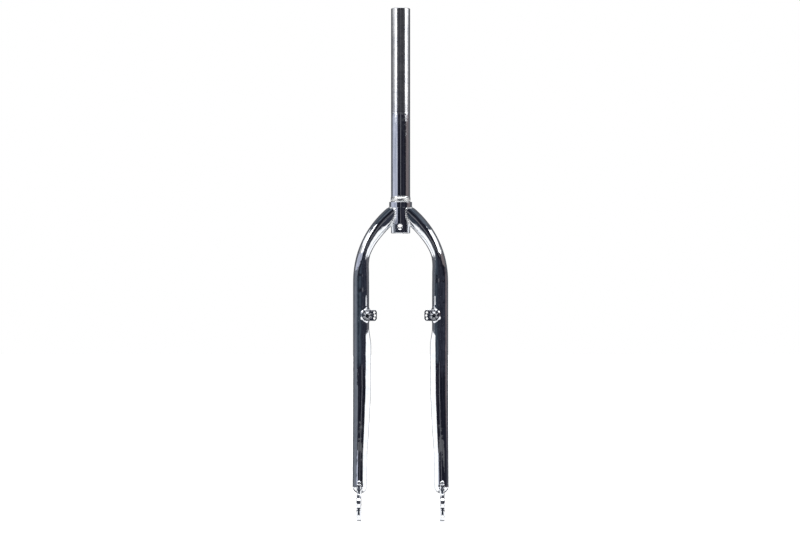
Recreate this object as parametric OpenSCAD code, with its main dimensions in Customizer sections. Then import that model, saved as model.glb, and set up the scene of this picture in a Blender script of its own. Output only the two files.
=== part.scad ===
// Rigid bicycle fork: a steerer tube, two tubular blades bent and welded to it
// (unicrown), slotted blade tips with plate dropouts, and rim brake bosses.
// The steerer's axis is Z, the front of the fork faces -Y, and the origin is on
// the steerer's axis at the shoulder that the lower headset race sits on.

/* [Steerer] */
// Outside diameter of the steerer tube
steerer_d = 25.4; // [25.0:0.1:25.8]
// Length of the steerer above the race shoulder
steerer_len = 257; // [150:1:300]
// Length of the steerer below the race shoulder
steerer_tail = 41.8; // [40:0.2:48]
// Bore of the steerer
steerer_bore = 22.2; // [21.8:0.1:22.6]
// Bore of the thicker lower end
butt_bore = 20.4; // [19:0.1:21]
// Diameter of the seat for the lower headset race
race_d = 26.4; // [26.2:0.1:27.0]
// Height of the race seat
race_h = 7.0; // [5:0.5:9]
// Diameter of the shoulder under the race seat
shoulder_d = 30.4; // [29.5:0.1:31]
// Height of the shoulder
shoulder_h = 7.2; // [6.8:0.1:7.6]
// Diameter of the hole across the steerer's lower end
cross_hole_d = 6.4; // [5:0.1:7]

/* [Blades] */
// Outside diameter of a blade
blade_d = 24; // [23:0.1:25]
// Wall of a blade
blade_wall = 1.8; // [1.2:0.1:2.4]
// Distance from the steerer's axis to a blade's centre line
blade_x = 51.25; // [50:0.25:53]
// Radius of the bend at the crown, at the centre line
bend_r = 114.5; // [112:0.5:117]
// Angle that a blade is bent through at the crown
bend_angle = 47.6; // [46.5:0.1:48.5]
// Depth below the shoulder at which the crown bend ends
bend_end = 105; // [103:0.5:107]
// Depth below the shoulder at which the forward curve begins
rake_start = 200; // [195:1:210]
// Radius of the forward curve
rake_r = 530; // [500:5:580]
// Length of the curved part of a blade
rake_len = 187.4; // [180:0.2:195]
// Diameter of a blade at its tip
tip_d = 19.2; // [18.6:0.1:20]

/* [Dropouts] */
// Thickness of a dropout
dropout_t = 6; // [5:0.5:6.5]
// Distance between the dropouts' inner faces
hub_width = 103; // [102:0.5:104]
// Width of the axle slot
slot_w = 9.4; // [9:0.1:10]
// Radius of the dropout around the axle
dropout_r = 17.5; // [16:0.5:19]
// Distance from the blade's tip to the axle
axle_drop = 20.8; // [20:0.2:22]

/* [Brake bosses] */
// Distance from the steerer's axis to a brake stud
stud_x = 43.9; // [43:0.1:45]
// Depth of the brake studs below the shoulder
stud_drop = 150.4; // [148:0.2:152]
// Diameter of a brake stud's pivot
stud_d = 8; // [7.8:0.1:8]
// Length of a brake stud's pivot
stud_len = 16; // [14:0.5:18]

/* [Hidden] */
$fn = 96;

steel = [0.62, 0.62, 0.63];
chrome = [0.80, 0.82, 0.86];

// ---- blade: centre line, section and skin -------------------------------

// The section's outer edge runs parallel to the centre line at this distance.
half = blade_d / 2;
// Lengths along the centre line, from the steerer's axis
bend_x0 = blade_x - bend_r + bend_r * cos(bend_angle);
s_bend = bend_x0 / sin(bend_angle);
s_down = s_bend + bend_r * bend_angle * PI / 180;
s_rake = s_down + rake_start - bend_end;
s_tip = s_rake + rake_len;
rake_angle = rake_len / rake_r * 180 / PI;

// Tangent's lean from vertical in the front view, and forward in the side view
function lean(s) = s < s_bend ? bend_angle
    : s < s_down ? bend_angle - (s - s_bend) / bend_r * 180 / PI : 0;
function rake(s) = s < s_rake ? 0 : (s - s_rake) / rake_r * 180 / PI;

// A point of the centre line
function centre(s) =
    s < s_bend ? [
        bend_x0 - (s_bend - s) * sin(bend_angle), 0,
        -bend_end + bend_r * sin(bend_angle) + (s_bend - s) * cos(bend_angle)]
    : s < s_down ? [
        blade_x - bend_r + bend_r * cos(lean(s)), 0, -bend_end + bend_r * sin(lean(s))]
    : s < s_rake ? [blade_x, 0, -bend_end - (s - s_down)]
    : [blade_x, -rake_r * (1 - cos(rake(s))), -rake_start - rake_r * sin(rake(s))];

// Width across the blade in the front view: squeezed in the bend, flat on the
// inside beside the tyre, round below it, and tapered to the tip
width_at = [[0, 21.6], [25, 21.4], [45, 20.2], [62, 18.2], [78, 17.0], [90, 18.6],
    [102, 20.8], [116, 21.4], [180, 21.4], [188, 22.6], [196, 24], [264, 24],
    [294, 22.4], [312, 21.6], [340, 19.6], [370, 19.2], [420, 19.2]];
// Half width of the section's outer side, and half depth from front to back
outer_at = [[0, 10.8], [25, 10.7], [45, 10.6], [62, 10.2], [78, 10.0], [90, 10.8],
    [102, 11.6], [116, 12], [264, 12], [294, 11.2], [312, 10.8], [340, 9.8],
    [370, 9.6], [420, 9.6]];
depth_at = [[0, 10.4], [25, 10.5], [45, 11.4], [62, 12.2], [78, 12.6], [90, 12.4],
    [102, 12.1], [116, 12], [264, 12], [294, 11.2], [312, 10.8], [340, 9.8],
    [370, 9.6], [420, 9.6]];
// 1 is an oval inner side, and less is flatter
flat_at = [[0, 1], [62, 1], [78, 0.9], [90, 0.8], [102, 0.65], [116, 0.55],
    [180, 0.55], [196, 1], [420, 1]];

scale_d = blade_d / 24;
function dome(s, end, r) = s <= end - r ? 1
    : sqrt(max(0, 1 - pow((s - end + r) / r, 2)));

// Offset from the centre line to the section's point at angle a, wall t inwards
function section(s, a, t, end, r) =
    let (
        w = lookup(s, width_at) * scale_d,
        o = lookup(s, outer_at) * scale_d,
        k = dome(s, end, r),
        n = cos(a) >= 0 ? (o - t) * cos(a)
            : -(w - o - t) * pow(abs(cos(a)), lookup(s, flat_at)),
        mid = half - w / 2
    )
    [mid + (half - o - mid + n) * k, (lookup(s, depth_at) * scale_d - t) * sin(a) * k];

// The same point in space
function place(s, p) =
    let (c = centre(s), l = lean(s), r = rake(s))
    [c[0] + p[0] * cos(l), c[1] + p[1] * cos(r), c[2] + p[0] * sin(l) - p[1] * sin(r)];

// Height of the weld's top face between the blade's end and the shoulder
function weld_top(x) = -shoulder_h - 0.3 * max(0, x - shoulder_d / 2);

// The outer skin swells into the weld as it nears the steerer
function skin(s, a) =
    let (
        p = place(s, section(s, a, 0, s_tip, tip_d / 2)),
        gap = max(0, norm([p[0], p[1]]) - steerer_d / 2),
        f = 2.2 * pow(max(0, 1 - gap / 5), 1.6),
        q = s > 60 ? p : place(s, section(s, a, -f, s_tip, tip_d / 2))
    )
    [q[0], q[1], min(q[2], weld_top(q[0]))];
function bore_skin(s, a) =
    let (q = place(s, section(s, a, blade_wall, s_tip - blade_wall, tip_d / 2 - blade_wall)))
    [q[0], q[1], min(q[2], weld_top(q[0]) - 2)];

sides = 24;
s_list = concat(
    [for (s = [0:4:112]) s], [116, 132, 156, 176, 180, 184, 188, 192, 196, 202, 214],
    [for (s = [230:16:358]) s], [372, s_tip - tip_d / 2],
    [for (k = [1:6]) s_tip - tip_d / 2 * (1 - sin(k * 13.5))]);
b_list = concat(
    [for (s = [8:6:112]) s], [116, 132, 156, 176, 184, 192, 200, 214],
    [for (s = [230:22:350]) s], [364, s_tip - tip_d / 2],
    [for (k = [1:4]) s_tip - tip_d / 2 * (1 - sin(k * 15) * (1 - 2 * blade_wall / tip_d))]);

// One closed skin through rings of points, capped at both ends
function ring_faces(m, k, flip) = [for (i = [0:m - 2], j = [0:sides - 1])
    let (a = k + i * sides + j, b = k + i * sides + (j + 1) % sides,
        c = b + sides, d = a + sides)
    each flip ? [[a, b, c], [a, c, d]] : [[a, c, b], [a, d, c]]];

module blade_solid() {
    m = len(s_list);
    pts = [for (s = s_list, j = [0:sides - 1]) skin(s, j * 360 / sides)];
    polyhedron(
        points = concat(pts, [place(s_list[0], [half - 10.8, 0]), tip_point(0)]),
        faces = concat(
            ring_faces(m, 0, true),
            [for (j = [0:sides - 1]) [m * sides, (j + 1) % sides, j]],
            [for (j = [0:sides - 1])
                [m * sides + 1, (m - 1) * sides + j, (m - 1) * sides + (j + 1) % sides]]));
}
function tip_point(t) = place(s_tip - t, [half - tip_d / 2, 0]);

module blade_bore() {
    m = len(b_list);
    pts = [for (s = b_list, j = [0:sides - 1]) bore_skin(s, j * 360 / sides)];
    polyhedron(
        points = concat(pts, [place(b_list[0], [half - 10.8, 0]), tip_point(blade_wall)]),
        faces = concat(
            ring_faces(m, 0, true),
            [for (j = [0:sides - 1]) [m * sides, (j + 1) % sides, j]],
            [for (j = [0:sides - 1])
                [m * sides + 1, (m - 1) * sides + j, (m - 1) * sides + (j + 1) % sides]]));
}

// ---- steerer -------------------------------------------------------------

module steerer_outline() {
    r = steerer_d / 2;
    sr = shoulder_d / 2;
    polygon([
        [0, -steerer_tail], [r - 0.6, -steerer_tail], [r - 0.2, -steerer_tail + 0.5],
        [r, -24], [r, -17], [sr, -shoulder_h], [sr, -0.4], [sr - 0.4, 0],
        [race_d / 2, 0], [race_d / 2, race_h - 0.5], [race_d / 2 - 0.5, race_h],
        [r, race_h], [r, steerer_len - 0.5], [r - 0.5, steerer_len], [0, steerer_len]]);
}

module steerer_tube() {
    color(steel)
    difference() {
        rotate_extrude() steerer_outline();
        translate([0, 0, 40]) cylinder(d = steerer_bore, h = steerer_len);
        translate([0, 0, 20]) cylinder(d1 = butt_bore, d2 = steerer_bore, h = 20.001);
        translate([0, 0, -steerer_tail - 1]) cylinder(d = butt_bore, h = steerer_tail + 21.001);
        translate([-1, 0, 10 - steerer_tail]) rotate([90, 0, 0])
            cylinder(d = cross_hole_d, h = 60, center = true);
    }
}

// ---- dropouts --------------------------------------------------------------

// Frame at the axle: X along the fork's X, local Y up the blade, local Z
// towards the back
module at_axle() {
    tip = centre(s_tip);
    translate([0, tip[1] - axle_drop * sin(rake_angle), tip[2] - axle_drop * cos(rake_angle)])
        rotate([-rake_angle, 0, 0]) children();
}

tab_step = 0.2;

// Drawn from the side, with the back at +X and the blade up +Y
module dropout_plate() {
    difference() {
        union() {
            cylinder(r = dropout_r, h = dropout_t);
            translate([-19, 4.5, 0]) cylinder(r = 5.2, h = dropout_t);
            // neck and the tab that fills the blade's slot
            linear_extrude(dropout_t) polygon([
                [-13.5, 11], [-10, 14], [-8.4, 17], [-8, 20], [-9.9, 23], [-9.9, 30],
                [-7.5, 33], [7.5, 33], [9.9, 30], [9.9, 23], [8, 20], [8.4, 17], [10, 14],
                [13.5, 11], [8, -2], [-8, -2]]);
            // web behind the eyelet
            linear_extrude(dropout_t) polygon([
                [-17.5, 9.5], [-10.5, 13.6], [-8, 2], [-16, -2.5], [-19.5, -0.6]]);
        }
        translate([0, 0, -1]) cylinder(d = slot_w, h = dropout_t + 2);
        translate([-slot_w / 2, -40, -1]) cube([slot_w, 40, dropout_t + 2]);
        translate([-19, 4.5, -1]) cylinder(d = 5, h = dropout_t + 2);
        // the tab is milled a little thinner than the plate, so the clamping
        // faces end in a step below the blade's tip
        translate([-15, 20, -1]) cube([30, 20, 1 + tab_step]);
        translate([-15, 20, dropout_t - tab_step]) cube([30, 20, 2]);
    }
}

module right_dropout_solid() {
    at_axle() translate([hub_width / 2, 0, 0]) rotate([90, 0, 90]) dropout_plate();
}

// ---- brake bosses ------------------------------------------------------------

plate_y = -17.4;   // back face of the spring plate
plate_t = 2;
spigot_y = 13.2;   // how far forwards the stud's blind hole in the boss begins

module boss_place() {
    translate([stud_x, 0, -stud_drop]) rotate([90, 0, 0]) children();
}

module right_brake_boss_solid() {
    difference() {
        union() {
            boss_place() translate([0, 0, 4.5]) cylinder(r = 7.2, h = -plate_y - 4.5);
            // weld fillet, only where the barrel meets the blade
            intersection() {
                boss_place() rotate_extrude() polygon([
                    [0, 4.5], [11, 4.5], [11, 9], [10.4, 10.2], [9.3, 11.6], [8.3, 13.2],
                    [7.5, 14.8], [7.2, 15.6], [0, 15.6]]);
                translate([blade_x, 0, -stud_drop]) cylinder(r = blade_d / 2 + 2.6, h = 40, center = true);
            }
        }
        blade_solid();
        boss_place() translate([0, 0, spigot_y]) cylinder(d = 8, h = 40);
    }
}

module plate_outline() {
    difference() {
        union() {
            circle(r = 7.2);
            translate([-9.2, 4]) circle(r = 3.4);
            translate([-9.2, -4]) circle(r = 3.4);
            translate([-12.6, -4]) square([12.6, 8]);
            translate([-9.2, -7.4]) square([8.2, 14.8]);
        }
        circle(d = 8);
        for (a = [-23, 0, 23]) rotate(180 + a) translate([10, 0]) circle(d = 2.8);
    }
}

module right_spring_plate_solid() {
    boss_place() translate([0, 0, -plate_y]) linear_extrude(plate_t) plate_outline();
}

module right_brake_stud_solid() {
    z0 = -plate_y + plate_t;
    difference() {
        boss_place() rotate_extrude() polygon([
            [0, spigot_y], [4, spigot_y], [4, z0], [5.6, z0], [5.6, z0 + 2.6], [5.2, z0 + 3],
            [stud_d / 2, z0 + 3], [stud_d / 2, z0 + 3 + stud_len - 0.6],
            [stud_d / 2 - 0.6, z0 + 3 + stud_len], [0, z0 + 3 + stud_len]]);
        boss_place() translate([0, 0, z0 + 3 + stud_len - 14]) cylinder(d = 5, h = 20);
        boss_place() translate([0, 0, z0 + 3 + stud_len - 0.8]) cylinder(d1 = 5, d2 = 6.6, h = 0.801);
    }
}

// ---- the parts ------------------------------------------------------------------

module steerer_envelope() { rotate_extrude() steerer_outline(); }

module right_blade() {
    color(chrome)
    difference() {
        blade_solid();
        blade_bore();
        steerer_envelope();
        right_dropout_solid();
    }
}
module right_dropout() { color(chrome) right_dropout_solid(); }
module right_brake_boss() { color(chrome) right_brake_boss_solid(); }
module right_spring_plate() { color(chrome) right_spring_plate_solid(); }
module right_brake_stud() { color(chrome) right_brake_stud_solid(); }

module left_blade() { mirror([1, 0, 0]) right_blade(); }
module left_dropout() { mirror([1, 0, 0]) right_dropout(); }
module left_brake_boss() { mirror([1, 0, 0]) right_brake_boss(); }
module left_spring_plate() { mirror([1, 0, 0]) right_spring_plate(); }
module left_brake_stud() { mirror([1, 0, 0]) right_brake_stud(); }

steerer_tube();
left_blade();
right_blade();
left_dropout();
right_dropout();
left_brake_boss();
right_brake_boss();
left_spring_plate();
right_spring_plate();
left_brake_stud();
right_brake_stud();
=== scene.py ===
import math

import bmesh
import bpy
import numpy as np
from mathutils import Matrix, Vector
from mathutils.geometry import delaunay_2d_cdt


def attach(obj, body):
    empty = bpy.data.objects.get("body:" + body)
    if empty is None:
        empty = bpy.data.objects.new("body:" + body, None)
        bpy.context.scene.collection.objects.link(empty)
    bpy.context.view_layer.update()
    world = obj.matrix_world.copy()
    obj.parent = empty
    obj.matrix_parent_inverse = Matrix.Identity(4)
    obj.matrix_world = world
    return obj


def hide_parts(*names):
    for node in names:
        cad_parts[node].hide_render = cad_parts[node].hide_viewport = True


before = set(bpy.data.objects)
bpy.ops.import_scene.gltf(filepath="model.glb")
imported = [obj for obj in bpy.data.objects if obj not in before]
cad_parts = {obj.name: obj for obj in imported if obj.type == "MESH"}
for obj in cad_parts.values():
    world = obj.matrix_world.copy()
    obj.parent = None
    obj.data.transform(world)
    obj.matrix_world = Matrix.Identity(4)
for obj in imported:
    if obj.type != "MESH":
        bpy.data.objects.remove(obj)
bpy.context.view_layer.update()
MM = 0.001
RNG = np.random.default_rng(7)

# ---------------------------------------------------------------- dimensions, mm
STEERER_R, RACE_R, SHOULDER_R = 12.7, 13.2, 15.2
TOP, TAIL, RACE_H, SHOULDER_H = 257.0, 41.8, 7.0, 7.2
PLATED_TOP = 118.4            # the steerer is bare steel above this
HALF, BLADE_X, BEND_R, BEND_A = 12.0, 51.25, 114.5, math.radians(47.6)
BEND_END, RAKE_START, RAKE_R, RAKE_LEN = 105.0, 200.0, 530.0, 187.4
TIP_R = 9.6
AXLE_DROP, HUB_HALF, PLATE_T = 20.8, 51.5, 6.0
STUD_X, STUD_Z = 43.9, -150.4

BEND_X0 = BLADE_X - BEND_R + BEND_R * math.cos(BEND_A)
S_BEND = BEND_X0 / math.sin(BEND_A)
S_DOWN = S_BEND + BEND_R * BEND_A
S_RAKE = S_DOWN + RAKE_START - BEND_END
S_TIP = S_RAKE + RAKE_LEN
RAKE_A = RAKE_LEN / RAKE_R

WIDTH = [(0, 21.6), (25, 21.4), (45, 20.2), (62, 18.2), (78, 17.0), (90, 18.6), (102, 20.8),
         (116, 21.4), (180, 21.4), (188, 22.6), (196, 24), (264, 24), (294, 22.4), (312, 21.6),
         (340, 19.6), (370, 19.2), (420, 19.2)]
OUTER = [(0, 10.8), (25, 10.7), (45, 10.6), (62, 10.2), (78, 10.0), (90, 10.8), (102, 11.6),
         (116, 12), (264, 12), (294, 11.2), (312, 10.8), (340, 9.8), (370, 9.6), (420, 9.6)]
DEPTH = [(0, 10.4), (25, 10.5), (45, 11.4), (62, 12.2), (78, 12.6), (90, 12.4), (102, 12.1),
         (116, 12), (264, 12), (294, 11.2), (312, 10.8), (340, 9.8), (370, 9.6), (420, 9.6)]
FLAT = [(0, 1), (62, 1), (78, 0.9), (90, 0.8), (102, 0.65), (116, 0.55), (180, 0.55), (196, 1),
        (420, 1)]

GRID = np.arange(-30.0, 460.0, 0.25)


def gauss(values, sigma):
    k = np.arange(-int(4 * sigma / 0.25), int(4 * sigma / 0.25) + 1) * 0.25
    w = np.exp(-0.5 * (k / sigma) ** 2)
    pad = len(k) // 2
    return np.convolve(np.pad(values, pad, mode="edge"), w / w.sum(), mode="valid")


def eased(table, sigma=3.2):
    x, y = zip(*table)
    values = gauss(np.interp(GRID, x, y), sigma)
    return lambda s: np.interp(s, GRID, values)


width, outer, depth, flat = eased(WIDTH), eased(OUTER), eased(DEPTH), eased(FLAT, 4.0)

_lean = np.interp(GRID, [S_BEND, S_DOWN], [BEND_A, 0.0])
_rake = np.maximum(0, (GRID - S_RAKE) / RAKE_R)
_lean, _rake = gauss(_lean, 4.0), gauss(_rake, 6.0)
_t = np.stack([np.sin(_lean), -np.sin(_rake) * np.cos(_lean), -np.cos(_rake) * np.cos(_lean)], 1)
_c = np.concatenate([[[0, 0, 0]], np.cumsum((_t[1:] + _t[:-1]) / 2 * 0.25, 0)])
_c = _c - _c[np.searchsorted(GRID, 0.0)]
_c[:, 2] += -BEND_END + BEND_R * math.sin(BEND_A) + S_BEND * math.cos(BEND_A)
_c[:, 0] += (BLADE_X - np.interp(S_DOWN + 40, GRID, _c[:, 0])) * np.clip(GRID / 60, 0, 1)


def centre(s):
    return np.stack([np.interp(s, GRID, _c[:, i]) for i in range(3)], -1)


def place(s, p0, p1):
    c, l, r = centre(s), np.interp(s, GRID, _lean), np.interp(s, GRID, _rake)
    return np.stack([c[..., 0] + p0 * np.cos(l), c[..., 1] + p1 * np.cos(r),
                     c[..., 2] + p0 * np.sin(l) - p1 * np.sin(r)], -1)


def section(s, a, grow=0.0):
    w, o, ca = width(s), outer(s), np.cos(a)
    u = np.clip((s - (S_TIP - TIP_R)) / TIP_R, 0, 1)
    k = np.sqrt(np.maximum(0, 1 - u * u))
    n = np.where(ca >= 0, (o + grow) * ca, -(w - o + grow) * np.abs(ca) ** flat(s))
    mid = HALF - w / 2
    return mid + (HALF - o - mid + n) * k, (depth(s) + grow) * np.sin(a) * k


def column_r(z):
    return np.interp(z, [-7.8, -7.5], [STEERER_R, SHOULDER_R])


def skin(s, a):
    """The blade's outside, drawn in a little at the steerer and kept under the shoulder."""
    p = place(s, *section(s, a))
    gap = np.maximum(0, np.hypot(p[..., 0], p[..., 1]) - STEERER_R)
    f = -0.2 * np.maximum(0, 1 - gap / 4.5) ** 2
    q = np.where((s < 60)[..., None], place(s, *section(s, a, f)), p)
    top = -SHOULDER_H - 0.3 * np.maximum(0, q[..., 0] - SHOULDER_R)
    d = q[..., 2] - top
    q[..., 2] = np.where(s < 60, top + 0.5 * (d - np.sqrt(d * d + 0.5)), q[..., 2])
    return q


def even_angles(s, n):
    """Angles that space n points evenly round the section at each s."""
    fine = np.linspace(0, 2 * math.pi, 721)
    out = np.zeros((len(s), n))
    for i, si in enumerate(s):
        x, y = section(np.full(721, min(si, S_TIP - TIP_R)), fine)
        d = np.concatenate([[0], np.cumsum(np.hypot(np.diff(x), np.diff(y)))])
        out[i] = np.interp(np.arange(n) / n * d[-1], d, fine)
    return out


# ---------------------------------------------------------------- mesh helpers
def quads(m, n, base=0, closed=False):
    i = np.arange(m if closed else m - 1)[:, None]
    j = np.arange(n)[None, :]
    a = base + i * n + j
    b = base + i * n + (j + 1) % n
    c = base + ((i + 1) % m) * n + (j + 1) % n
    d = base + ((i + 1) % m) * n + j
    return np.stack([a, b, c, d], -1).reshape(-1, 4).tolist()


class Soup:
    """Vertices and faces of one piece, made of closed shells."""

    def __init__(self):
        self.v, self.f = [], []

    def count(self):
        return sum(len(x) for x in self.v)

    def rings(self, p, closed=False, start=None, end=None):
        m, n = p.shape[:2]
        base = self.count()
        self.v.append(p.reshape(-1, 3))
        self.f += quads(m, n, base, closed)
        for cap, ring in ((start, 0), (end, m - 1)):
            if cap is not None:
                k = self.count()
                self.v.append(np.asarray(cap, float).reshape(1, 3))
                self.f += [[base + ring * n + j, base + ring * n + (j + 1) % n, k] for j in range(n)]

    def add(self, verts, faces):
        base = self.count()
        self.v.append(np.asarray(verts, float))
        self.f += [[base + i for i in f] for f in faces]

    def mirrored(self):
        s = Soup()
        s.v = [x * [-1, 1, 1] for x in self.v]
        s.f = [list(reversed(f)) for f in self.f]
        return s


def to_object(name, soup, angle=35.0):
    me = bpy.data.meshes.new(name)
    me.from_pydata((np.concatenate(soup.v) * MM).tolist(), [], soup.f)
    bm = bmesh.new()
    bm.from_mesh(me)
    bmesh.ops.recalc_face_normals(bm, faces=bm.faces)
    bm.to_mesh(me)
    bm.free()
    o = bpy.data.objects.new(name, me)
    bpy.context.scene.collection.objects.link(o)
    soften(o, angle)
    return o


def soften(o, angle=35.0):
    o.data.polygons.foreach_set("use_smooth", np.ones(len(o.data.polygons), bool))
    o.data.set_sharp_from_angle(angle=math.radians(angle))
    o.data.update()


def finished(o, material, slot, *nodes):
    o.data.materials.clear()
    o.data.materials.append(material)
    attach(o, "root")
    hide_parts(*nodes)
    return o


def lathe(profile, n, closed=True):
    pr = np.asarray(profile, float)
    t = np.arange(n) / n * 2 * math.pi
    return np.stack([pr[:, 0:1] * np.cos(t), pr[:, 0:1] * np.sin(t),
                     np.repeat(pr[:, 1:2], n, 1)], -1)


def cut(o, cutter):
    m = o.modifiers.new("cut", "BOOLEAN")
    m.operation, m.solver, m.object = "DIFFERENCE", "EXACT", cutter
    bpy.context.view_layer.update()
    me = bpy.data.meshes.new_from_object(o.evaluated_get(bpy.context.evaluated_depsgraph_get()))
    o.modifiers.clear()
    o.data = me
    bpy.data.objects.remove(cutter)


def arc(cx, cz, r, a0, a1, k):
    t = np.radians(np.linspace(a0, a1, k))
    return [(cx + r * math.cos(x), cz + r * math.sin(x)) for x in t]


# ---------------------------------------------------------------- materials
class Nodes:
    """Short forms for shader nodes."""

    def __init__(self, tree):
        self.t = tree
        tree.nodes.clear()

    def new(self, kind, inputs=None, **attrs):
        n = self.t.nodes.new(kind)
        for k, v in attrs.items():
            setattr(n, k, v)
        for k, v in (inputs or {}).items():
            if isinstance(v, bpy.types.NodeSocket):
                self.t.links.new(v, n.inputs[k])
            else:
                n.inputs[k].default_value = v
        return n

    def math(self, op, *args, clamp=False):
        n = self.new("ShaderNodeMath", {i: a for i, a in enumerate(args)}, operation=op)
        n.use_clamp = clamp
        return n.outputs[0]

    def step(self, x, lo, hi, a=0.0, b=1.0):
        """Smooth step of x from a to b between lo and hi."""
        n = self.new("ShaderNodeMapRange", {"Value": x, "From Min": lo, "From Max": hi,
                                            "To Min": a, "To Max": b}, interpolation_type="SMOOTHSTEP")
        return n.outputs[0]

    def noise(self, vec, scale, detail=3.0, rough=0.5, squash=None, distortion=0.0):
        if squash is not None:
            vec = self.new("ShaderNodeVectorMath", {0: vec, 1: squash}, operation="MULTIPLY").outputs[0]
        n = self.new("ShaderNodeTexNoise", {"Vector": vec, "Scale": scale, "Detail": detail,
                                            "Roughness": rough, "Distortion": distortion})
        return n.outputs[0]

    def mix(self, fac, a, b):
        n = self.new("ShaderNodeMix", {}, data_type="RGBA")
        for key, v in ((0, fac), (6, a), (7, b)):
            if isinstance(v, bpy.types.NodeSocket):
                self.t.links.new(v, n.inputs[key])
            else:
                n.inputs[key].default_value = v
        return n.outputs[2]


def rgb(r, g, b):
    return (r, g, b, 1.0)


def metal(name, build, anisotropic=0.0):
    m = bpy.data.materials.new(name)
    m.use_nodes = True
    n = Nodes(m.node_tree)
    out = n.new("ShaderNodeOutputMaterial")
    pos = n.new("ShaderNodeTexCoord").outputs["Object"]
    colour, rough, height = build(n, pos)
    bump = n.new("ShaderNodeBump", {"Height": height, "Strength": 1.0, "Distance": 0.001})
    bsdf = n.new("ShaderNodeBsdfPrincipled", {"Base Color": colour, "Roughness": rough,
                                              "Metallic": 1.0, "Normal": bump.outputs[0],
                                              "Anisotropic": anisotropic})
    n.t.links.new(bsdf.outputs[0], out.inputs[0])
    return m


def plating(n, pos, wave=1.0, rough=0.045, tint=(0.80, 0.815, 0.85)):
    """Bright chrome: slow unevenness from polishing under the plate, faint cloudiness and tiny pits."""
    slow = n.noise(pos, 55.0, 2.0, 0.45)
    mid = n.noise(pos, 190.0, 3.0, 0.55)
    cloud = n.noise(pos, 130.0, 4.0, 0.6)
    pits = n.new("ShaderNodeTexVoronoi", {"Vector": pos, "Scale": 420.0}).outputs["Distance"]
    pit = n.step(pits, 0.06, 0.13, 1.0, 0.0)
    rare = n.step(n.noise(pos, 90.0, 1.0), 0.56, 0.66)
    pit = n.math("MULTIPLY", pit, rare)
    colour = n.mix(n.step(cloud, 0.35, 0.72), rgb(*tint), rgb(tint[0] * 0.88, tint[1] * 0.90, tint[2] * 0.90))
    colour = n.mix(n.math("MULTIPLY", pit, 0.6), colour, rgb(0.16, 0.16, 0.17))
    r = n.math("ADD", n.step(cloud, 0.4, 0.8, rough, rough + 0.07), n.math("MULTIPLY", pit, 0.35))
    h = n.math("ADD", n.math("MULTIPLY", slow, 0.22 * wave), n.math("MULTIPLY", mid, 0.016 * wave))
    h = n.math("ADD", h, n.math("MULTIPLY", pit, -0.03))
    return colour, r, h


def steerer_build(n, pos):
    """Chrome below, bare turned steel above, and a ground seat for the headset race."""
    c0, r0, h0 = plating(n, pos, wave=0.6, rough=0.05)
    xyz = n.new("ShaderNodeSeparateXYZ", {0: pos})
    z = xyz.outputs[2]
    # bare steel: close turning lines round the tube, and slow cloudy stains
    lines = n.noise(pos, 1.0, 4.0, 0.75, squash=(90.0, 90.0, 5200.0))
    wide = n.noise(pos, 1.0, 3.0, 0.6, squash=(40.0, 40.0, 900.0))
    stain = n.noise(pos, 75.0, 4.0, 0.6)
    steel = n.mix(n.step(stain, 0.3, 0.75), rgb(0.60, 0.605, 0.62), rgb(0.43, 0.44, 0.47))
    steel = n.mix(n.step(wide, 0.52, 0.78, 0.0, 0.55), steel, rgb(0.30, 0.30, 0.32))
    sr = n.math("ADD", n.step(wide, 0.3, 0.7, 0.13, 0.20), n.math("MULTIPLY", stain, 0.05))
    sh = n.math("ADD", n.math("MULTIPLY", lines, 0.006), n.math("MULTIPLY", wide, 0.012))
    # the edge of the plating is a little uneven
    edge = n.math("ADD", z, n.math("MULTIPLY", n.math("SUBTRACT", n.noise(pos, 160.0, 2.0), 0.5), 0.0012))
    bare = n.step(edge, PLATED_TOP * MM - 0.0002, PLATED_TOP * MM + 0.0003)
    colour = n.mix(bare, c0, steel)
    rough = n.math("ADD", n.math("MULTIPLY", r0, n.math("SUBTRACT", 1.0, bare)), n.math("MULTIPLY", sr, bare))
    high = n.math("ADD", n.math("MULTIPLY", h0, n.math("SUBTRACT", 1.0, bare)), n.math("MULTIPLY", sh, bare))
    # the race seat is turned bright and left bare
    seat = n.math("MULTIPLY", n.step(z, -0.00015, 0.0001), n.step(z, 0.0060, 0.0062, 1.0, 0.0))
    colour = n.mix(seat, colour, n.mix(wide, rgb(0.90, 0.90, 0.885), rgb(0.80, 0.80, 0.80)))
    rough = n.math("ADD", n.math("MULTIPLY", rough, n.math("SUBTRACT", 1.0, seat)),
                   n.math("MULTIPLY", n.step(lines, 0.3, 0.7, 0.33, 0.40), seat))
    high = n.math("ADD", n.math("MULTIPLY", high, n.math("SUBTRACT", 1.0, seat)),
                  n.math("MULTIPLY", n.math("MULTIPLY", lines, 0.001), seat))
    # its edges roll over
    u = n.math("MULTIPLY", n.math("ABSOLUTE", n.math("SUBTRACT", z, 0.0031)), 1 / 0.0030)
    roll = n.math("POWER", n.math("MINIMUM", u, 1.0), 2.0)
    high = n.math("SUBTRACT", high, n.math("MULTIPLY", roll, 1.4))
    return colour, rough, high


def bead_build(n, pos):
    c, r, h = plating(n, pos, wave=0.5, rough=0.07)
    fine = n.noise(pos, 900.0, 3.0, 0.6)
    return c, r, n.math("ADD", h, n.math("MULTIPLY", fine, 0.008))


def satin_painted_bright_build(n, pos):
    """Plating over an unpolished weld: satin roughness, and a paler tint than the blades' chrome that paints the
    weld's highlights brighter.
    """
    # painted highlight: the 0.95 tint is brighter than the same plating on the blades, to whiten the weld's
    # crescents
    c, r, h = plating(n, pos, wave=0.5, rough=0.27, tint=(0.95, 0.955, 0.965))
    fine = n.noise(pos, 900.0, 3.0, 0.6)
    return c, r, n.math("ADD", h, n.math("MULTIPLY", fine, 0.012))


def stamped_build(n, pos):
    c, r, h = plating(n, pos, wave=0.8, rough=0.06)
    peel = n.noise(pos, 700.0, 2.0, 0.5)
    return c, r, n.math("ADD", h, n.math("MULTIPLY", peel, 0.012))


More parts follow.
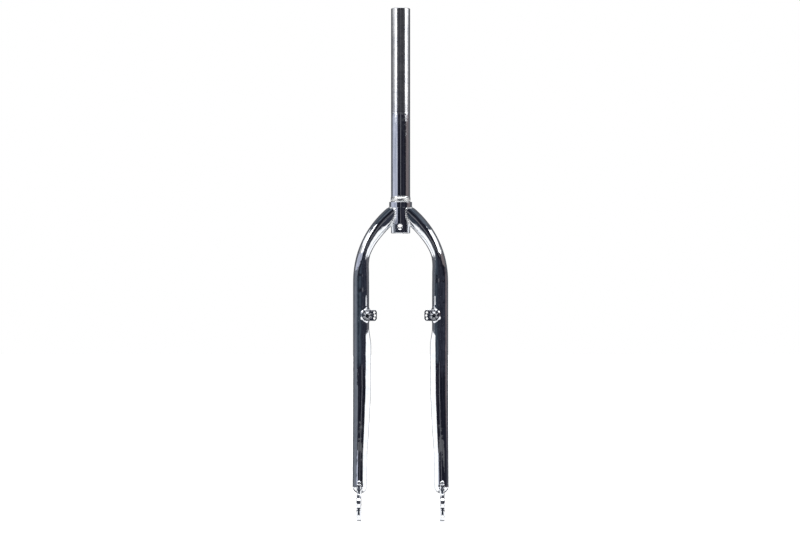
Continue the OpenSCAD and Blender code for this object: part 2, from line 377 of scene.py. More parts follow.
chrome = metal("chrome_tube", lambda n, p: plating(n, p, wave=2.2))
steerer_mat = metal("steerer_steel_and_chrome", steerer_build)
bead_mat = metal("chrome_weld", bead_build)
satin_painted_bright_weld = metal("chrome_weld_satin_painted_bright", satin_painted_bright_build)
stamped = metal("chrome_stamped", stamped_build)
turned = metal("chrome_turned", lambda n, p: plating(n, p, wave=0.3, rough=0.05))

# ---------------------------------------------------------------- blades
N = 128
s_fine = np.arange(0, 60.01, 0.5)
ang_fine = even_angles(s_fine, N)
p_fine = skin(np.repeat(s_fine[:, None], N, 1), ang_fine)
rho = np.hypot(p_fine[..., 0], p_fine[..., 1])


def crossing(limit):
    """For each point round the section, the last length at which the skin is inside limit."""
    out = np.zeros(N)
    for j in range(N):
        lim = limit if np.isscalar(limit) else limit[:, j]
        d = rho[:, j] - lim
        k = np.where(d < 0)[0]
        k = k[-1] if len(k) else 0
        f = -d[k] / (d[k + 1] - d[k]) if len(d) > k + 1 and d[k] < 0 else 0
        out[j] = s_fine[k] + 0.5 * f
    return out


def fine_at(s, j):
    """Skin point number j at lengths s under 60."""
    return np.stack([np.interp(s, s_fine, p_fine[:, j, i]) for i in range(3)], -1)


root = crossing(STEERER_R - 0.5)
meet = crossing(column_r(p_fine[..., 2]))


def blade_rings():
    tau = (np.linspace(0, 1, 44) ** 1.35)
    first = np.zeros((len(tau), N, 3))
    for j in range(N):
        first[:, j] = fine_at(root[j] + (58 - root[j]) * tau, j)
    s2 = np.concatenate([np.arange(60, S_TIP - TIP_R - 1, 2.4),
                         S_TIP - TIP_R + TIP_R * np.sin(np.radians(np.linspace(0, 88.5, 30)))])
    second = skin(np.repeat(s2[:, None], N, 1), even_angles(s2, N))
    # cap over the root, inside the steerer's wall
    rim = first[0]
    th, z = np.arctan2(rim[:, 1], rim[:, 0]), rim[:, 2]
    z0 = z.mean()
    caps = []
    for k in (0.25, 0.5, 0.75):
        r = STEERER_R - 0.5
        caps.append(np.stack([r * np.cos(th * k), r * np.sin(th * k), z0 + (z - z0) * k], -1))
    tip = place(np.array([S_TIP]), np.array([HALF - TIP_R]), np.array([0.0]))[0]
    p = np.concatenate([np.array(caps), first, second])
    return p, (STEERER_R - 0.5, 0, z0), tip


def bead(seed, pitch=2.7, on_column=3.0, on_blade=3.1):
    """A rippled weld round the joint of blade and steerer."""
    rng = np.random.default_rng(seed)
    n = 420
    jj = np.arange(N + 1)
    loop = np.array([fine_at(np.array([meet[j % N]]), j % N)[0] for j in jj])
    ahead = np.array([fine_at(np.array([meet[j % N] + 1.0]), j % N)[0] for j in jj])
    d = np.concatenate([[0], np.cumsum(np.linalg.norm(np.diff(loop, axis=0), axis=1))])
    t = np.arange(n) / n * d[-1]
    c = np.stack([np.interp(t, d, loop[:, i]) for i in range(3)], -1)
    b = np.stack([np.interp(t, d, ahead[:, i]) for i in range(3)], -1)
    for _ in range(6):
        c = (np.roll(c, 1, 0) + 2 * c + np.roll(c, -1, 0)) / 4
        b = (np.roll(b, 1, 0) + 2 * b + np.roll(b, -1, 0)) / 4
    tg = np.roll(c, -1, 0) - np.roll(c, 1, 0)
    tg /= np.linalg.norm(tg, axis=1)[:, None]
    nc = c * [1, 1, 0]
    nc /= np.linalg.norm(nc, axis=1)[:, None]
    out = b - c
    out -= (out * tg).sum(1)[:, None] * tg
    out /= np.linalg.norm(out, axis=1)[:, None]
    away = np.cross(tg, nc)
    away /= np.linalg.norm(away, axis=1)[:, None]
    mid = c.mean(0)
    sign = np.sign(((c - mid) * away).sum(1))
    sign = np.where(np.median(sign) < 0, -1.0, 1.0)
    away *= sign
    k = t / d[-1] * round(d[-1] / pitch)
    ripple = np.sin(math.pi * k) ** 2
    wobble = gauss_loop(rng.normal(size=n), 14)
    w1 = on_column * (0.95 + 0.05 * ripple + 0.08 * wobble)
    w2 = on_blade * (0.95 + 0.05 * ripple - 0.08 * wobble)
    # thinner at the top, broader at the front and lower half
    low = np.clip((-13.0 - c[:, 2]) / 9.0, 0, 1)
    low = low * low * (3 - 2 * low)
    w1 = w1 * (0.75 + 0.40 * low)
    w2 = w2 * (0.55 + 0.10 * low)
    a_pt = c + away * w1[:, None] + nc * 0.02
    b_pt = c + out * w2[:, None]
    bulge = away + out
    bulge /= np.linalg.norm(bulge, axis=1)[:, None]
    h = 0.14 + 0.22 * ripple + 0.05 * wobble
    ctrl = c + bulge * h[:, None]
    prof = []
    for u in np.linspace(0, 1, 11):
        prof.append((1 - u) ** 2 * a_pt + 2 * u * (1 - u) * ctrl + u * u * b_pt)
    under = c - nc * 0.35 - bulge * 0.4
    prof += [b_pt - bulge * 0.7 + (c - b_pt) * 0.15, under, a_pt - nc * 0.6 + (c - a_pt) * 0.15]
    p = np.stack(prof, 1)
    p[..., 2] = np.minimum(p[..., 2], -SHOULDER_H + 0.7 - 0.22 * np.maximum(0, p[..., 0] - SHOULDER_R))
    return p


def gauss_loop(v, sigma):
    k = np.arange(-4 * sigma, 4 * sigma + 1)
    w = np.exp(-0.5 * (k / sigma) ** 2)
    v = np.convolve(np.concatenate([v[-4 * sigma:], v, v[:4 * sigma]]), w / w.sum(), mode="valid")
    return v / max(1e-9, np.abs(v).max())


blade_p, blade_root, blade_tip = blade_rings()
for side, sx in (("left", -1), ("right", 1)):
    soup = Soup()
    soup.rings(blade_p, start=blade_root, end=blade_tip)
    weld = Soup()
    weld.rings(bead(11, on_column=3.4) if sx < 0 else bead(12, on_column=2.4), closed=True)
    if sx < 0:
        soup, weld = soup.mirrored(), weld.mirrored()
    o = to_object(side + "_blade_tube", soup, 60)
    finished(o, chrome, "blade_chrome", side + "_blade")
    w = to_object(side + "_crown_weld", weld, 60)
    finished(w, satin_painted_bright_weld, "blade_chrome", side + "_blade")

# ---------------------------------------------------------------- steerer
def steerer_profile():
    r = STEERER_R
    pr = [(10.2, -TAIL + 0.3), (10.5, -TAIL), (r - 0.9, -TAIL)]
    pr += arc(r - 0.9, -TAIL + 0.9, 0.9, -90, 0, 7)[1:]
    pr += [(r, z) for z in np.arange(-40.5, -7.6, 0.75)]
    # the shoulder's underside is turned a little hollow
    pr += [(r, -7.3), (SHOULDER_R, -7.5)]
    pr += [(SHOULDER_R, -5.5), (SHOULDER_R, -3), (SHOULDER_R, -0.8)]
    pr += arc(SHOULDER_R - 0.6, -0.6, 0.6, 8, 90, 7)
    pr += [(RACE_R + 0.02, 0.0)]
    for u in np.linspace(-1, 1, 17):
        z = 3.5 + 3.3 * u
        pr.append((RACE_R - 0.34 * abs(u) ** 2.2, z))
    pr += [(RACE_R - 0.42, 6.95), (r + 0.02, 7.0), (r, 7.1)]
    pr += [(r, z) for z in (9, 12, 20, 40, 60, 80, 100, 112, PLATED_TOP, 125, 150, 180, 210, 240,
                            250, 254, TOP - 0.9)]
    pr += arc(r - 0.6, TOP - 0.6, 0.6, 10, 90, 5)
    pr += [(11.4, TOP), (11.1, TOP - 0.3)]
    pr += [(11.1, z) for z in (250, 200, 150, 100, 60, 40)]
    pr += [(10.2, z) for z in (20, 10, -5)] + [(10.2, z) for z in np.arange(-20, -41, -1.5)]
    return pr


soup = Soup()
p = lathe(steerer_profile(), 224)
low = p[..., 2] < -TAIL + 1.6
x, y = p[..., 0], p[..., 1]
front = np.clip(-y / 6, 0, 1)
lift = 1.1 * np.exp(-((x - 4.2) / 0.8) ** 2) * front - 0.25 * np.exp(-((x - 7.2) / 1.6) ** 2) * front
lift = lift + 0.22 * np.sin(3 * np.arctan2(y, x) + 1.0) + 0.12 * np.sin(7 * np.arctan2(y, x))
p[..., 2] += np.where(low, np.maximum(lift, -0.0), 0) * np.clip((-TAIL + 1.6 - p[..., 2]) / 1.2, 0, 1)
soup.rings(p, closed=True)
steerer = to_object("steerer", soup, 30)
hole = Soup()
shape = [(0, -30)] + [(4.1, -30), (4.1, -12.75), (3.2, -11.9), (3.2, 11.9), (4.1, 12.75), (4.1, 30)] + [(0, 30)]
hr = lathe(shape[1:-1], 64)
# drilled by hand: 5.7 degrees off level, higher at the back
hr = np.stack([hr[..., 0] - 1.0, hr[..., 2], hr[..., 1] - TAIL + 10.0 + hr[..., 2] * 0.10], -1)
hole.rings(hr, start=(-1, -30, -TAIL + 7.0), end=(-1, 30, -TAIL + 13.0))
cut(steerer, to_object("hole_cutter", hole))
soften(steerer, 30)
finished(steerer, steerer_mat, "steerer_steel", "steerer_tube")


# ---------------------------------------------------------------- plates from a distance field
def sd_circle(p, c, r):
    return np.hypot(p[..., 0] - c[0], p[..., 1] - c[1]) - r


def sd_polygon(p, pts):
    v = np.asarray(pts, float)
    d = np.full(p.shape[:-1], 1e9)
    s = np.ones(p.shape[:-1])
    for i in range(len(v)):
        a, b = v[i], v[i - 1]
        e, w = b - a, p - a
        t = np.clip((w * e).sum(-1) / (e * e).sum(), 0, 1)
        q = w - e * t[..., None]
        d = np.minimum(d, (q * q).sum(-1))
        c = np.stack([p[..., 1] >= a[1], p[..., 1] < b[1], e[0] * w[..., 1] > e[1] * w[..., 0]])
        s = np.where(c.all(0) | (~c).all(0), -s, s)
    return s * np.sqrt(d)


def sd_box(p, c, h, r):
    q = np.abs(p - np.asarray(c)) - np.asarray(h) + r
    return np.hypot(np.maximum(q[..., 0], 0), np.maximum(q[..., 1], 0)) + np.minimum(q.max(-1), 0) - r


def smin(a, b, k):
    h = np.maximum(k - np.abs(a - b), 0) / k
    return np.minimum(a, b) - h * h * k / 4


def smax(a, b, k):
    return -smin(-a, -b, k)


def outlines(sdf, lo, hi, step=0.25, space=0.4):
    """Closed loops of points where sdf is zero, evenly spaced."""
    xs, ys = np.arange(lo[0], hi[0], step), np.arange(lo[1], hi[1], step)
    g = np.stack(np.meshgrid(xs, ys, indexing="ij"), -1)
    f = sdf(g)
    ins = f < 0
    segs = {}
    mixed = ins[:-1, :-1].astype(int) + ins[1:, :-1] + ins[1:, 1:] + ins[:-1, 1:]
    for i, j in zip(*np.where((mixed > 0) & (mixed < 4))):
        corners = [(i, j), (i + 1, j), (i + 1, j + 1), (i, j + 1)]
        hits = []
        for k in range(4):
            a, b = corners[k], corners[(k + 1) % 4]
            if ins[a] != ins[b]:
                hits.append((tuple(sorted((a, b))), bool(ins[a])))
        if len(hits) == 2:
            hits.sort(key=lambda h: not h[1])
            segs[hits[0][0]] = hits[1][0]
    loops = []
    while segs:
        start, cur = segs.popitem()
        path = [start]
        while cur in segs:
            path.append(cur)
            cur = segs.pop(cur)
        pts = []
        for a, b in path:
            fa, fb = f[a], f[b]
            t = fa / (fa - fb)
            pts.append(g[a] * (1 - t) + g[b] * t)
        pts = np.array(pts)
        if len(pts) < 8:
            continue
        q = np.concatenate([pts, pts[:1]])
        d = np.concatenate([[0], np.cumsum(np.hypot(*np.diff(q, axis=0).T))])
        n = max(24, int(d[-1] / space))
        t = np.arange(n) / n * d[-1]
        pts = np.stack([np.interp(t, d, q[:, k]) for k in (0, 1)], -1)
        for _ in range(3):
            n_, v = gradient(sdf, pts)
            pts = pts - n_ * v[:, None]
        loops.append((pts, gradient(sdf, pts)[0]))
    return loops


def gradient(sdf, p, e=1e-3):
    gx = (sdf(p + [e, 0]) - sdf(p - [e, 0])) / (2 * e)
    gy = (sdf(p + [0, e]) - sdf(p - [0, e])) / (2 * e)
    n = np.hypot(gx, gy)
    return np.stack([gx, gy], -1) / np.maximum(n, 1e-6)[:, None], sdf(p)


def edge_radius(sdf, pts, nrm, b):
    """Edge rounding for each point of a loop, less where the plate is narrow or its corner sharp."""
    wanted = lim = np.zeros(len(pts)) + b
    for f in np.linspace(0.05, 1.05, 20):
        i = wanted * f
        bad = sdf(pts - nrm * i[:, None]) > -0.7 * i
        lim = np.where(bad, np.minimum(lim, 0.75 * i), lim)
    seg = np.roll(pts, -1, 0) - pts
    turn = ((np.roll(nrm, -1, 0) - nrm) * seg).sum(1) / (seg * seg).sum(1)
    lim = np.where(turn > 0.05, np.minimum(lim, 0.6 / np.maximum(turn, 0.05)), lim)
    for _ in range(12):
        low = np.min([np.roll(lim, k) for k in range(-4, 5)], 0)
        for _ in range(8):
            low = (np.roll(low, 1) + 2 * low + np.roll(low, -1)) / 4
        q = pts - nrm * low[:, None]
        bad = ((np.roll(q, -1, 0) - q) * seg).sum(1) < 0.15 * (seg * seg).sum(1)
        if not bad.any():
            break
        lim = np.where(bad | np.roll(bad, 1), low * 0.7, np.minimum(lim, low * 1.05))
    return low


def plate(sdf, lo, hi, t, b, b_hole, steps=5, space=0.4):
    """A plate of thickness t with edges rounded by b, in local X, Y, and 0..t in Z."""
    soup = Soup()
    loops = outlines(sdf, lo, hi, space=space)
    verts2, rims, edges = [], [], []
    base = 0
    outside = max(range(len(loops)), key=lambda k: np.ptp(loops[k][0], 0).sum())
    for which, (pts, nrm) in enumerate(loops):
        want = b_hole
        if which == outside:
            want = b if np.isscalar(b) else b(pts)
        r = edge_radius(sdf, pts, nrm, want)[:, None]
        ring = []
        for k in np.linspace(0, 90, steps + 1):
            a = math.radians(k)
            ring.append(np.column_stack([pts - nrm * r * (1 - math.sin(a)), r * (1 - math.cos(a))]))
        ring += [q * [1, 1, -1] + [0, 0, t] for q in reversed(ring)]
        p = np.stack(ring)
        soup.v.append(p.reshape(-1, 3))
        soup.f += quads(len(ring), len(pts), base)
        n = len(pts)
        rims.append((base, base + (len(ring) - 1) * n, n))
        k0 = len(verts2)
        verts2 += [Vector(q[:2]) for q in p[0]]
        edges += [(k0 + i, k0 + (i + 1) % n) for i in range(n)]
        base += len(ring) * n
    out = delaunay_2d_cdt(verts2, edges, [], 2, 1e-5)
    index = []
    for low_, high_, n in rims:
        index += [(low_ + i, high_ + i) for i in range(n)]
    origin = out[3]
    flat_pts = np.array([list(v) for v in verts2])
    ea, eb = flat_pts[[e[0] for e in edges]], flat_pts[[e[1] for e in edges]]
    rise = np.where(eb[:, 1] == ea[:, 1], 1.0, eb[:, 1] - ea[:, 1])
    for f in out[2]:
        ids = [origin[i][0] for i in f]
        mid = flat_pts[ids].mean(0)
        above = (ea[:, 1] > mid[1]) != (eb[:, 1] > mid[1])
        cross = ea[:, 0] + (mid[1] - ea[:, 1]) / rise * (eb[:, 0] - ea[:, 0])
        if (above & (cross > mid[0])).sum() % 2:
            soup.f.append([index[i][0] for i in ids])
            soup.f.append([index[i][1] for i in reversed(ids)])
    return soup


def place_soup(soup, fn):
    soup.v = [fn(np.concatenate(soup.v))]
    return soup


# ---------------------------------------------------------------- dropouts
def dropout_sdf(p):
    disc = sd_circle(p, (0, 0), 17.5)
    neck = sd_polygon(p, [(-12.3, 10.4), (-8.8, 13.5), (-7.1, 17), (-6.7, 20), (-8.6, 23.4),
                          (-8.6, 29.5), (-6.9, 31.7), (6.9, 31.7), (8.6, 29.5), (8.6, 23.4), (6.7, 20),
                          (7.1, 17), (8.8, 13.5), (12.3, 10.4), (7, -2), (-7, -2)]) - 1.3
    d = smin(disc, neck, 2.5)
    d = smin(d, sd_circle(p, (-19, 4.5), 5.2), 5.0)
    slot = np.minimum(sd_circle(p, (0, 0), 4.7), sd_box(p, (0, -20), (4.7, 20), 0.0))
    d = smax(d, -slot, 2.4 + 3.0 * np.clip(p[..., 0] / 3, 0, 1))
    return np.maximum(d, -sd_circle(p, (-19, 4.5), 2.5))


tip_c = centre(np.array([S_TIP]))[0]
axle_y = tip_c[1] - AXLE_DROP * math.sin(RAKE_A)
axle_z = tip_c[2] - AXLE_DROP * math.cos(RAKE_A)


def dropout_place(v):
    """Local X towards the back, local Y up the blade, local Z outwards from the hub."""
    c, s = math.cos(RAKE_A), math.sin(RAKE_A)
    lx, ly, lz = v[:, 0], v[:, 1], v[:, 2]
    return np.stack([HUB_HALF + lz, axle_y + lx * c + ly * s, axle_z - lx * s + ly * c], -1)


def dropout_edge(p):
    """Well rounded outside, crisper along the axle slot."""
    slot = np.minimum(sd_circle(p, (0, 0), 4.7), sd_box(p, (0, -20), (4.7, 20), 0.0))
    return 0.5 + 2.0 * np.clip((slot - 0.6) / 3.0, 0, 1)


drop = plate(dropout_sdf, (-27, -20), (20, 36), PLATE_T, dropout_edge, 0.5, 7, 0.35)
drop = place_soup(drop, dropout_place)


def braze_soup(seed):
    """Drops of braze where the front and back edges of the tab leave the blade."""
    rng = np.random.default_rng(seed)
    soup = Soup()
    for lx, size in ((-9.5, 1.0), (9.4, 0.8)):
        t = np.radians(np.linspace(-86, 86, 17))
        ball = lathe(np.column_stack([np.cos(t), np.sin(t)]), 32)
        lump = 1 + 0.10 * np.sin(2 * np.arctan2(ball[..., 1], ball[..., 0]) + rng.uniform(0, 6))
        scale = np.array([1.25, 2.1, 2.5]) * size
        mid = np.array([lx, 33.4 + rng.uniform(-0.4, 0.4), PLATE_T / 2 + rng.uniform(-0.3, 0.3)])
        q = ball * lump[..., None] * scale + mid
        soup.rings(q, start=mid - [0, 0, scale[2]], end=mid + [0, 0, scale[2]])
    return place_soup(soup, dropout_place)


for side in ("left", "right"):
    o = to_object(side + "_dropout_plate", drop if side == "right" else drop.mirrored(), 25)
    finished(o, stamped, "dropout_chrome", side + "_dropout")
    drops = braze_soup(31 if side == "right" else 32)
    o = to_object(side + "_tip_braze", drops if side == "right" else drops.mirrored(), 60)
    finished(o, bead_mat, "dropout_chrome", side + "_dropout")


# ---------------------------------------------------------------- brake bosses
def at_boss(v):
    """Local Z runs forwards along the stud."""
    return np.stack([STUD_X + v[..., 0], -v[..., 2], STUD_Z + v[..., 1]], -1)


def blade_front(x):
    """Front surface of the blade at the boss, as a distance forwards, by x."""
    n = np.clip(x - BLADE_X, -9.36, 11.9)
    ca = np.where(n >= 0, n / 12.0, (np.abs(n) / 9.4) ** (1 / 0.55))
    y = 12.0 * np.sqrt(np.maximum(0, 1 - ca * ca))
    return y - np.maximum(0, (BLADE_X - 9.36) - x) * 1.6


def boss_soup(seed):
    soup = Soup()
    r = 7.2
    pr = [(0.001, 4.5), (r - 0.8, 4.5)] + arc(r - 0.8, 5.3, 0.8, -90, 0, 6)[1:]
    pr += [(r, z) for z in np.arange(6.0, 17.0, 1.0)]
    pr += arc(r - 0.35, 17.05, 0.35, 10, 90, 4) + [(4.0, 17.4), (4.0, 13.2), (0.001, 13.2)]
    soup.rings(at_boss(lathe(pr, 96)), start=at_boss(np.array([0, 0, 4.5])), end=at_boss(np.array([0, 0, 13.2])))
    # braze fillet between barrel and blade
    rng = np.random.default_rng(seed)
    n = 240
    t = np.arange(n) / n * 2 * math.pi
    wob = gauss_loop(rng.normal(size=n), 9)
    R = 10.4 + 0.35 * wob + 0.5 * np.exp(-((np.angle(np.exp(1j * (t - 1.9)))) / 0.35) ** 2)
    ct, st = np.cos(t), np.sin(t)
    hx = STUD_X + 7.2 * ct
    up = blade_front(hx)
    bx = STUD_X + R * ct
    bz = R * st
    by = blade_front(bx)
    pinned = bx < BLADE_X - 9.36
    bx2 = np.where(pinned, BLADE_X - 9.42, bx)
    bz = np.where(pinned, R * st, bz)
    top = np.minimum(16.2, up + 3.4 + 0.3 * wob)
    a_pt = np.stack([7.19 * ct, 7.19 * st, top], -1)
    b_pt = np.stack([bx2 - STUD_X, bz, by - 0.05], -1)
    corner = np.stack([7.6 * ct, 7.6 * st, np.maximum(up, by) * 0.45 + np.minimum(up, by) * 0.55 + 0.5], -1)
    prof = []
    for u in np.linspace(0, 1, 12):
        prof.append((1 - u) ** 2 * a_pt + 2 * u * (1 - u) * corner + u * u * b_pt)
    inner = np.stack([6.6 * ct, 6.6 * st, top - 0.4], -1)
    deep = np.stack([6.6 * ct, 6.6 * st, np.minimum(up, by) - 1.2], -1)
    bdeep = b_pt * [0.96, 0.96, 1] - [0, 0, 1.0]
    prof += [bdeep, deep, inner]
    soup.rings(at_boss(np.stack(prof, 1)), closed=True)
    return soup


def plate_sdf(p):
    d = np.minimum(sd_circle(p, (0, 0), 7.2), sd_box(p, (-6.3, 0), (6.3, 7.4), 3.4))
    d = smin(d, sd_circle(p, (0, 0), 7.2), 1.5)
    d = np.maximum(d, -sd_circle(p, (0, 0), 4.0))
    for a in (-23, 0, 23):
        r = math.radians(180 + a)
        d = np.maximum(d, -sd_circle(p, (10 * math.cos(r), 10 * math.sin(r)), 1.4))
    return d


def stud_soup():
    soup = Soup()
    n = 72
    pr = [(0.001, 13.3), (3.6, 13.3), (3.98, 13.7), (3.98, 19.4), (5.0, 19.42)]
    pr += arc(5.25, 19.8, 0.35, -90, 0, 4) + arc(5.15, 21.95, 0.45, 0, 90, 5)
    pr += [(4.35, 22.4)] + arc(4.35, 22.75, 0.35, -90, -180, 4)
    pr += [(4.0, z) for z in (23.5, 26, 29, 32, 35, 37.4)]
    pr += arc(3.4, 37.8, 0.6, 12, 90, 5) + [(3.32, 38.4), (3.05, 38.12)]
    p = lathe(pr, n)
    t = np.arange(n) / n * 2 * math.pi
    rows = []
    for z in np.arange(38.05, 25.0, -0.1):
        ph = (z / 1.0 - t / (2 * math.pi)) % 1.0
        tri = 1 - np.abs(2 * ph - 1)
        depth_ = np.clip(tri * 1.5 - 0.25, 0, 1)
        r = 2.5 + 0.5 * depth_ * min(1.0, (z - 25.0) / 1.0)
        r = np.maximum(r, 2.5 + max(0, z - 37.5))
        rows.append(np.stack([r * np.cos(t), r * np.sin(t), np.full(n, z)], -1))
    p = np.concatenate([p, np.array(rows), lathe([(2.45, 24.9), (1.2, 24.5), (0.3, 24.2)], n)])
    soup.rings(at_boss(p), start=at_boss(np.array([0, 0, 13.3])), end=at_boss(np.array([0, 0, 24.15])))
    return soup


spring = plate(plate_sdf, (-16, -10), (10, 10), 2.0, 0.45, 0.3, 4, 0.3)
spring = place_soup(spring, lambda v: at_boss(v + [0, 0, 17.4]))
stud = stud_soup()
for side in ("left", "right"):
    right = side == "right"
    b = boss_soup(21 if right else 22)
    o = to_object(side + "_boss", b if right else b.mirrored(), 45)
    finished(o, bead_mat, "boss_chrome", side + "_brake_boss")
    o = to_object(side + "_spring_stop", spring if right else spring.mirrored(), 25)
    finished(o, stamped, "boss_chrome", side + "_spring_plate")
    o = to_object(side + "_stud", stud if right else stud.mirrored(), 40)
    finished(o, turned, "stud_chrome", side + "_brake_stud")

# ---------------------------------------------------------------- studio
scene = bpy.context.scene
world = bpy.data.worlds.new("studio")
scene.world = world
world.use_nodes = True
w = Nodes(world.node_tree)
direction = w.new("ShaderNodeTexCoord").outputs["Generated"]
xyz = w.new("ShaderNodeSeparateXYZ", {0: direction})
X, Y, Z = xyz.outputs
az = w.math("MULTIPLY", w.math("ARCTAN2", X, w.math("MULTIPLY", Y, -1.0)), 180 / math.pi)
el = w.math("MULTIPLY", w.math("ARCSINE", Z), 180 / math.pi)
aaz = w.math("ABSOLUTE", az)


def both(*m):
    r = m[0]
    for k in m[1:]:
        r = w.math("MULTIPLY", r, k)
    return r


def band(x, lo, hi, soft):
    return both(w.step(x, lo - soft, lo + soft), w.step(x, hi - soft, hi + soft, 1.0, 0.0))


clutter = w.noise(direction, 5.0, 5.0, 0.6)
clutter2 = w.noise(direction, 14.0, 3.0, 0.5)
clutter3 = w.noise(direction, 24.0, 3.0, 0.55)
white = rgb(1.0, 1.0, 1.0)
pale = rgb(1.3, 1.3, 1.3)
slate = w.mix(w.step(clutter, 0.36, 0.68), rgb(0.014, 0.019, 0.030), rgb(0.085, 0.108, 0.140))
ink = w.mix(w.step(clutter2, 0.35, 0.72), rgb(0.004, 0.005, 0.011), rgb(0.034, 0.034, 0.050))
murk = w.mix(w.step(clutter2, 0.35, 0.70), rgb(0.008, 0.009, 0.018), rgb(0.062, 0.068, 0.094))
left = w.mix(w.step(clutter3, 0.35, 0.7), rgb(0.14, 0.155, 0.185), rgb(0.26, 0.28, 0.32))
mauve = w.mix(w.step(clutter3, 0.35, 0.7), rgb(0.10, 0.082, 0.092), rgb(0.30, 0.24, 0.25))
dusk = w.mix(w.step(clutter2, 0.35, 0.7), rgb(0.030, 0.030, 0.044), rgb(0.080, 0.074, 0.094))
ceiling = w.mix(w.step(clutter, 0.36, 0.66), rgb(0.018, 0.026, 0.040), rgb(0.15, 0.175, 0.21))
grey = w.mix(w.step(clutter2, 0.3, 0.7), rgb(0.09, 0.095, 0.11), rgb(0.17, 0.175, 0.19))
# the front is dark, bluer at the left; greys begin farther round for the upper legs
up = w.step(el, -0.5, 2.0)
dark = w.mix(up, w.mix(w.step(az, -18.0, 2.0), slate, murk), ink)
edge = w.math("ADD", az, w.math("MULTIPLY", w.step(el, 0.0, 5.0), -19.0))
col = w.mix(w.step(edge, -75.0, -66.0, 1.0, 0.0), dark, left)
col = w.mix(w.step(az, 82.0, 94.0), col, w.mix(w.step(el, 2.0, 6.0), mauve, dusk))
col = w.mix(w.step(el, 33.0, 39.0), col, ceiling)
# behind the object: grey, with a darker middle
col = w.mix(both(w.step(aaz, 106.0, 118.0), w.step(el, 55.0, 60.0, 1.0, 0.0)), col, grey)
# overhead light and the pale ground
col = w.mix(w.step(el, 58.0, 64.0), col, rgb(4.2, 4.2, 4.25))
low = w.math("ADD", el, w.math("MULTIPLY", band(aaz, 76, 104, 4), 5.0))
# the dark front grows wider towards the ground
wide = w.math("SUBTRACT", aaz, w.math("MULTIPLY", w.math("MAXIMUM", w.math("SUBTRACT", -12.0, el), 0.0), 1.15))
col = w.mix(both(w.step(wide, 23.0, 31.0), w.step(aaz, 138.0, 146.0, 1.0, 0.0),
                 w.step(low, -11.5, -8.5, 1.0, 0.0)), col, pale)
col = w.mix(w.step(el, -50.0, -44.0, 1.0, 0.0), col, pale)
# dark things behind, low and high, that only the back of the object mirrors
behind = w.mix(w.step(clutter, 0.36, 0.68), rgb(0.010, 0.012, 0.018), rgb(0.120, 0.135, 0.160))
col = w.mix(both(w.step(aaz, 153.0, 159.0), band(el, -62, 26, 3)), col, behind)
col = w.mix(both(w.step(aaz, 116.0, 126.0), band(el, -60, -37, 2)), col, behind)
col = w.mix(both(band(az, -178.0, -171.0, 1.2), band(el, -60, 40, 3)), col, rgb(0.5, 0.5, 0.53))
col = w.mix(both(band(aaz, 60.0, 118.0, 4), band(el, -74, -57, 3)), col, behind)
col = w.mix(both(w.step(aaz, 174.0, 176.0), band(el, -48, -33, 2)), col, pale)
# one narrow bright gap in the dark front
col = w.mix(both(band(az, -2.2, 4.2, 1.4), band(el, 1.2, 40, 1.5)), col, rgb(0.20, 0.20, 0.225))
path = w.new("ShaderNodeLightPath")
col = w.mix(path.outputs["Is Diffuse Ray"], col, rgb(1.18, 1.18, 1.18))
col = w.mix(path.outputs["Is Camera Ray"], col, white)
back = w.new("ShaderNodeBackground", {0: col, 1: 1.0})
w.t.links.new(back.outputs[0], w.new("ShaderNodeOutputWorld").inputs[0])


PALE_TONES = (0.93, 0.93, 0.93), (0.90, 0.90, 0.905)


def stage_material(name, emission, one_sided, tones=PALE_TONES, scale=2.0):
    m = bpy.data.materials.new(name)
    m.use_nodes = True
    n = Nodes(m.node_tree)
    pos = n.new("ShaderNodeTexCoord").outputs["Object"]
    tone = n.mix(n.step(n.noise(pos, scale, 3.0, 0.55), 0.33, 0.67), rgb(*tones[0]), rgb(*tones[1]))
    if emission:
        shader = n.new("ShaderNodeEmission", {0: tone, 1: emission}).outputs[0]
    else:
        shader = n.new("ShaderNodeBsdfDiffuse", {0: tone}).outputs[0]
    if one_sided:
        clear = n.new("ShaderNodeBsdfTransparent").outputs[0]
        below = n.new("ShaderNodeNewGeometry").outputs["Backfacing"]
        shader = n.new("ShaderNodeMixShader", {0: below, 1: shader, 2: clear}).outputs[0]
    out = n.new("ShaderNodeOutputMaterial")
    n.t.links.new(shader, out.inputs[0])
    return m


def flat_panel(name, corners, material):
    me = bpy.data.meshes.new(name)
    me.from_pydata(corners, [], [list(range(len(corners)))])
    me.materials.append(material)
    o = bpy.data.objects.new(name, me)
    scene.collection.objects.link(o)
    return o


FLOOR_Z = -0.62
floor = flat_panel("floor", [(-9, -9, FLOOR_Z), (9, -9, FLOOR_Z), (9, 9, FLOOR_Z), (-9, 9, FLOOR_Z)],
                   stage_material("pale_floor", 0.0, True))
floor.visible_glossy = False
# a white card in the wheel's plane, only seen mirrored in the insides of the blades
card_white = stage_material("card_white", 1.45, False)
card = flat_panel("card", [(0, -0.088, -0.46), (0, 0.030, -0.46), (0, 0.055, -0.170), (0, -0.010, -0.176),
                           (0, -0.045, -0.182)], card_white)
small = flat_panel("small_card", [(0, -0.050, -0.139), (0, -0.016, -0.139), (0, -0.020, -0.126),
                                  (0, -0.042, -0.126)], card_white)
side_cards = [card, small]


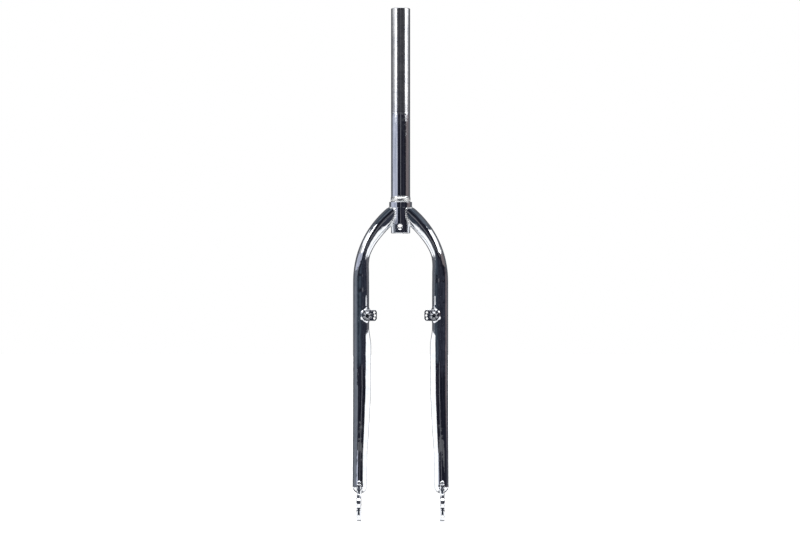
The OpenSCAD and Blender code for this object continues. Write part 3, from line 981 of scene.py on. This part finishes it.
def curved_card(name, a0, a1, z0, z1, strength, tones=PALE_TONES, scale=2.0, radius=1.0):
    """A soft light on a circle round the object, from azimuth a0 to a1, 0 being the front."""
    a = np.radians(np.linspace(a0, a1, 15))
    v = [(radius * math.sin(t), -radius * math.cos(t), z) for z in (z0, z1) for t in a]
    me = bpy.data.meshes.new(name)
    me.from_pydata(v, [], [(i, i + 1, i + 16, i + 15) for i in range(14)])
    me.materials.append(stage_material(name + "_light", strength, False, tones, scale))
    o = bpy.data.objects.new(name, me)
    scene.collection.objects.link(o)
    side_cards.append(o)


curved_card("left_front_light", -46, -74, 0.198, 0.66, 3.1)
curved_card("right_front_light", 56, 90, 0.198, 0.66, 3.1)
curved_card("left_upper_light", -74, -113, 0.38, 0.60, 1.45)
curved_card("right_upper_light", 90, 113, 0.38, 0.60, 1.45)
curved_card("left_mid_light", -74, -113, 0.205, 0.38, 0.62)
curved_card("right_mid_light", 90, 113, 0.205, 0.38, 0.62)
curved_card("front_dim", -46, 56, 0.315, 0.62, 0.16, ((0.5, 0.52, 0.58), (1.0, 1.0, 1.05)), 4.0, 2.4)
LAVENDER = (0.46, 0.50, 0.64), (1.0, 1.03, 1.18)
curved_card("left_lavender", -37, -108, 0.0, 0.198, 0.74, LAVENDER, 13.0)
curved_card("right_mauve", 68, 112, 0.020, 0.198, 0.30, ((0.42, 0.36, 0.38), (1.0, 0.84, 0.85)), 13.0)
# low behind: what the lower half of the blades' backs mirrors
DIM = (0.25, 0.28, 0.34), (1.0, 1.03, 1.1)
curved_card("left_low_dark", -117, -152, -1.10, -0.70, 0.12, DIM, 5.0)
curved_card("right_low_dark", 117, 152, -1.10, -0.70, 0.12, DIM, 5.0)
for o in side_cards:
    o.visible_camera = o.visible_diffuse = o.visible_shadow = False

# ---------------------------------------------------------------- camera
cam = bpy.data.cameras.new("camera")
cam.sensor_width, cam.lens = 36.0, 36.0 * 2.5 / 1.064
cam.clip_start, cam.clip_end = 0.05, 60
camera = bpy.data.objects.new("camera", cam)
camera.location = (-0.0008, -2.5, -0.0878)
camera.rotation_euler = (math.radians(90), 0, 0)
scene.collection.objects.link(camera)
scene.camera = camera
scene.view_settings.view_transform = "Standard"
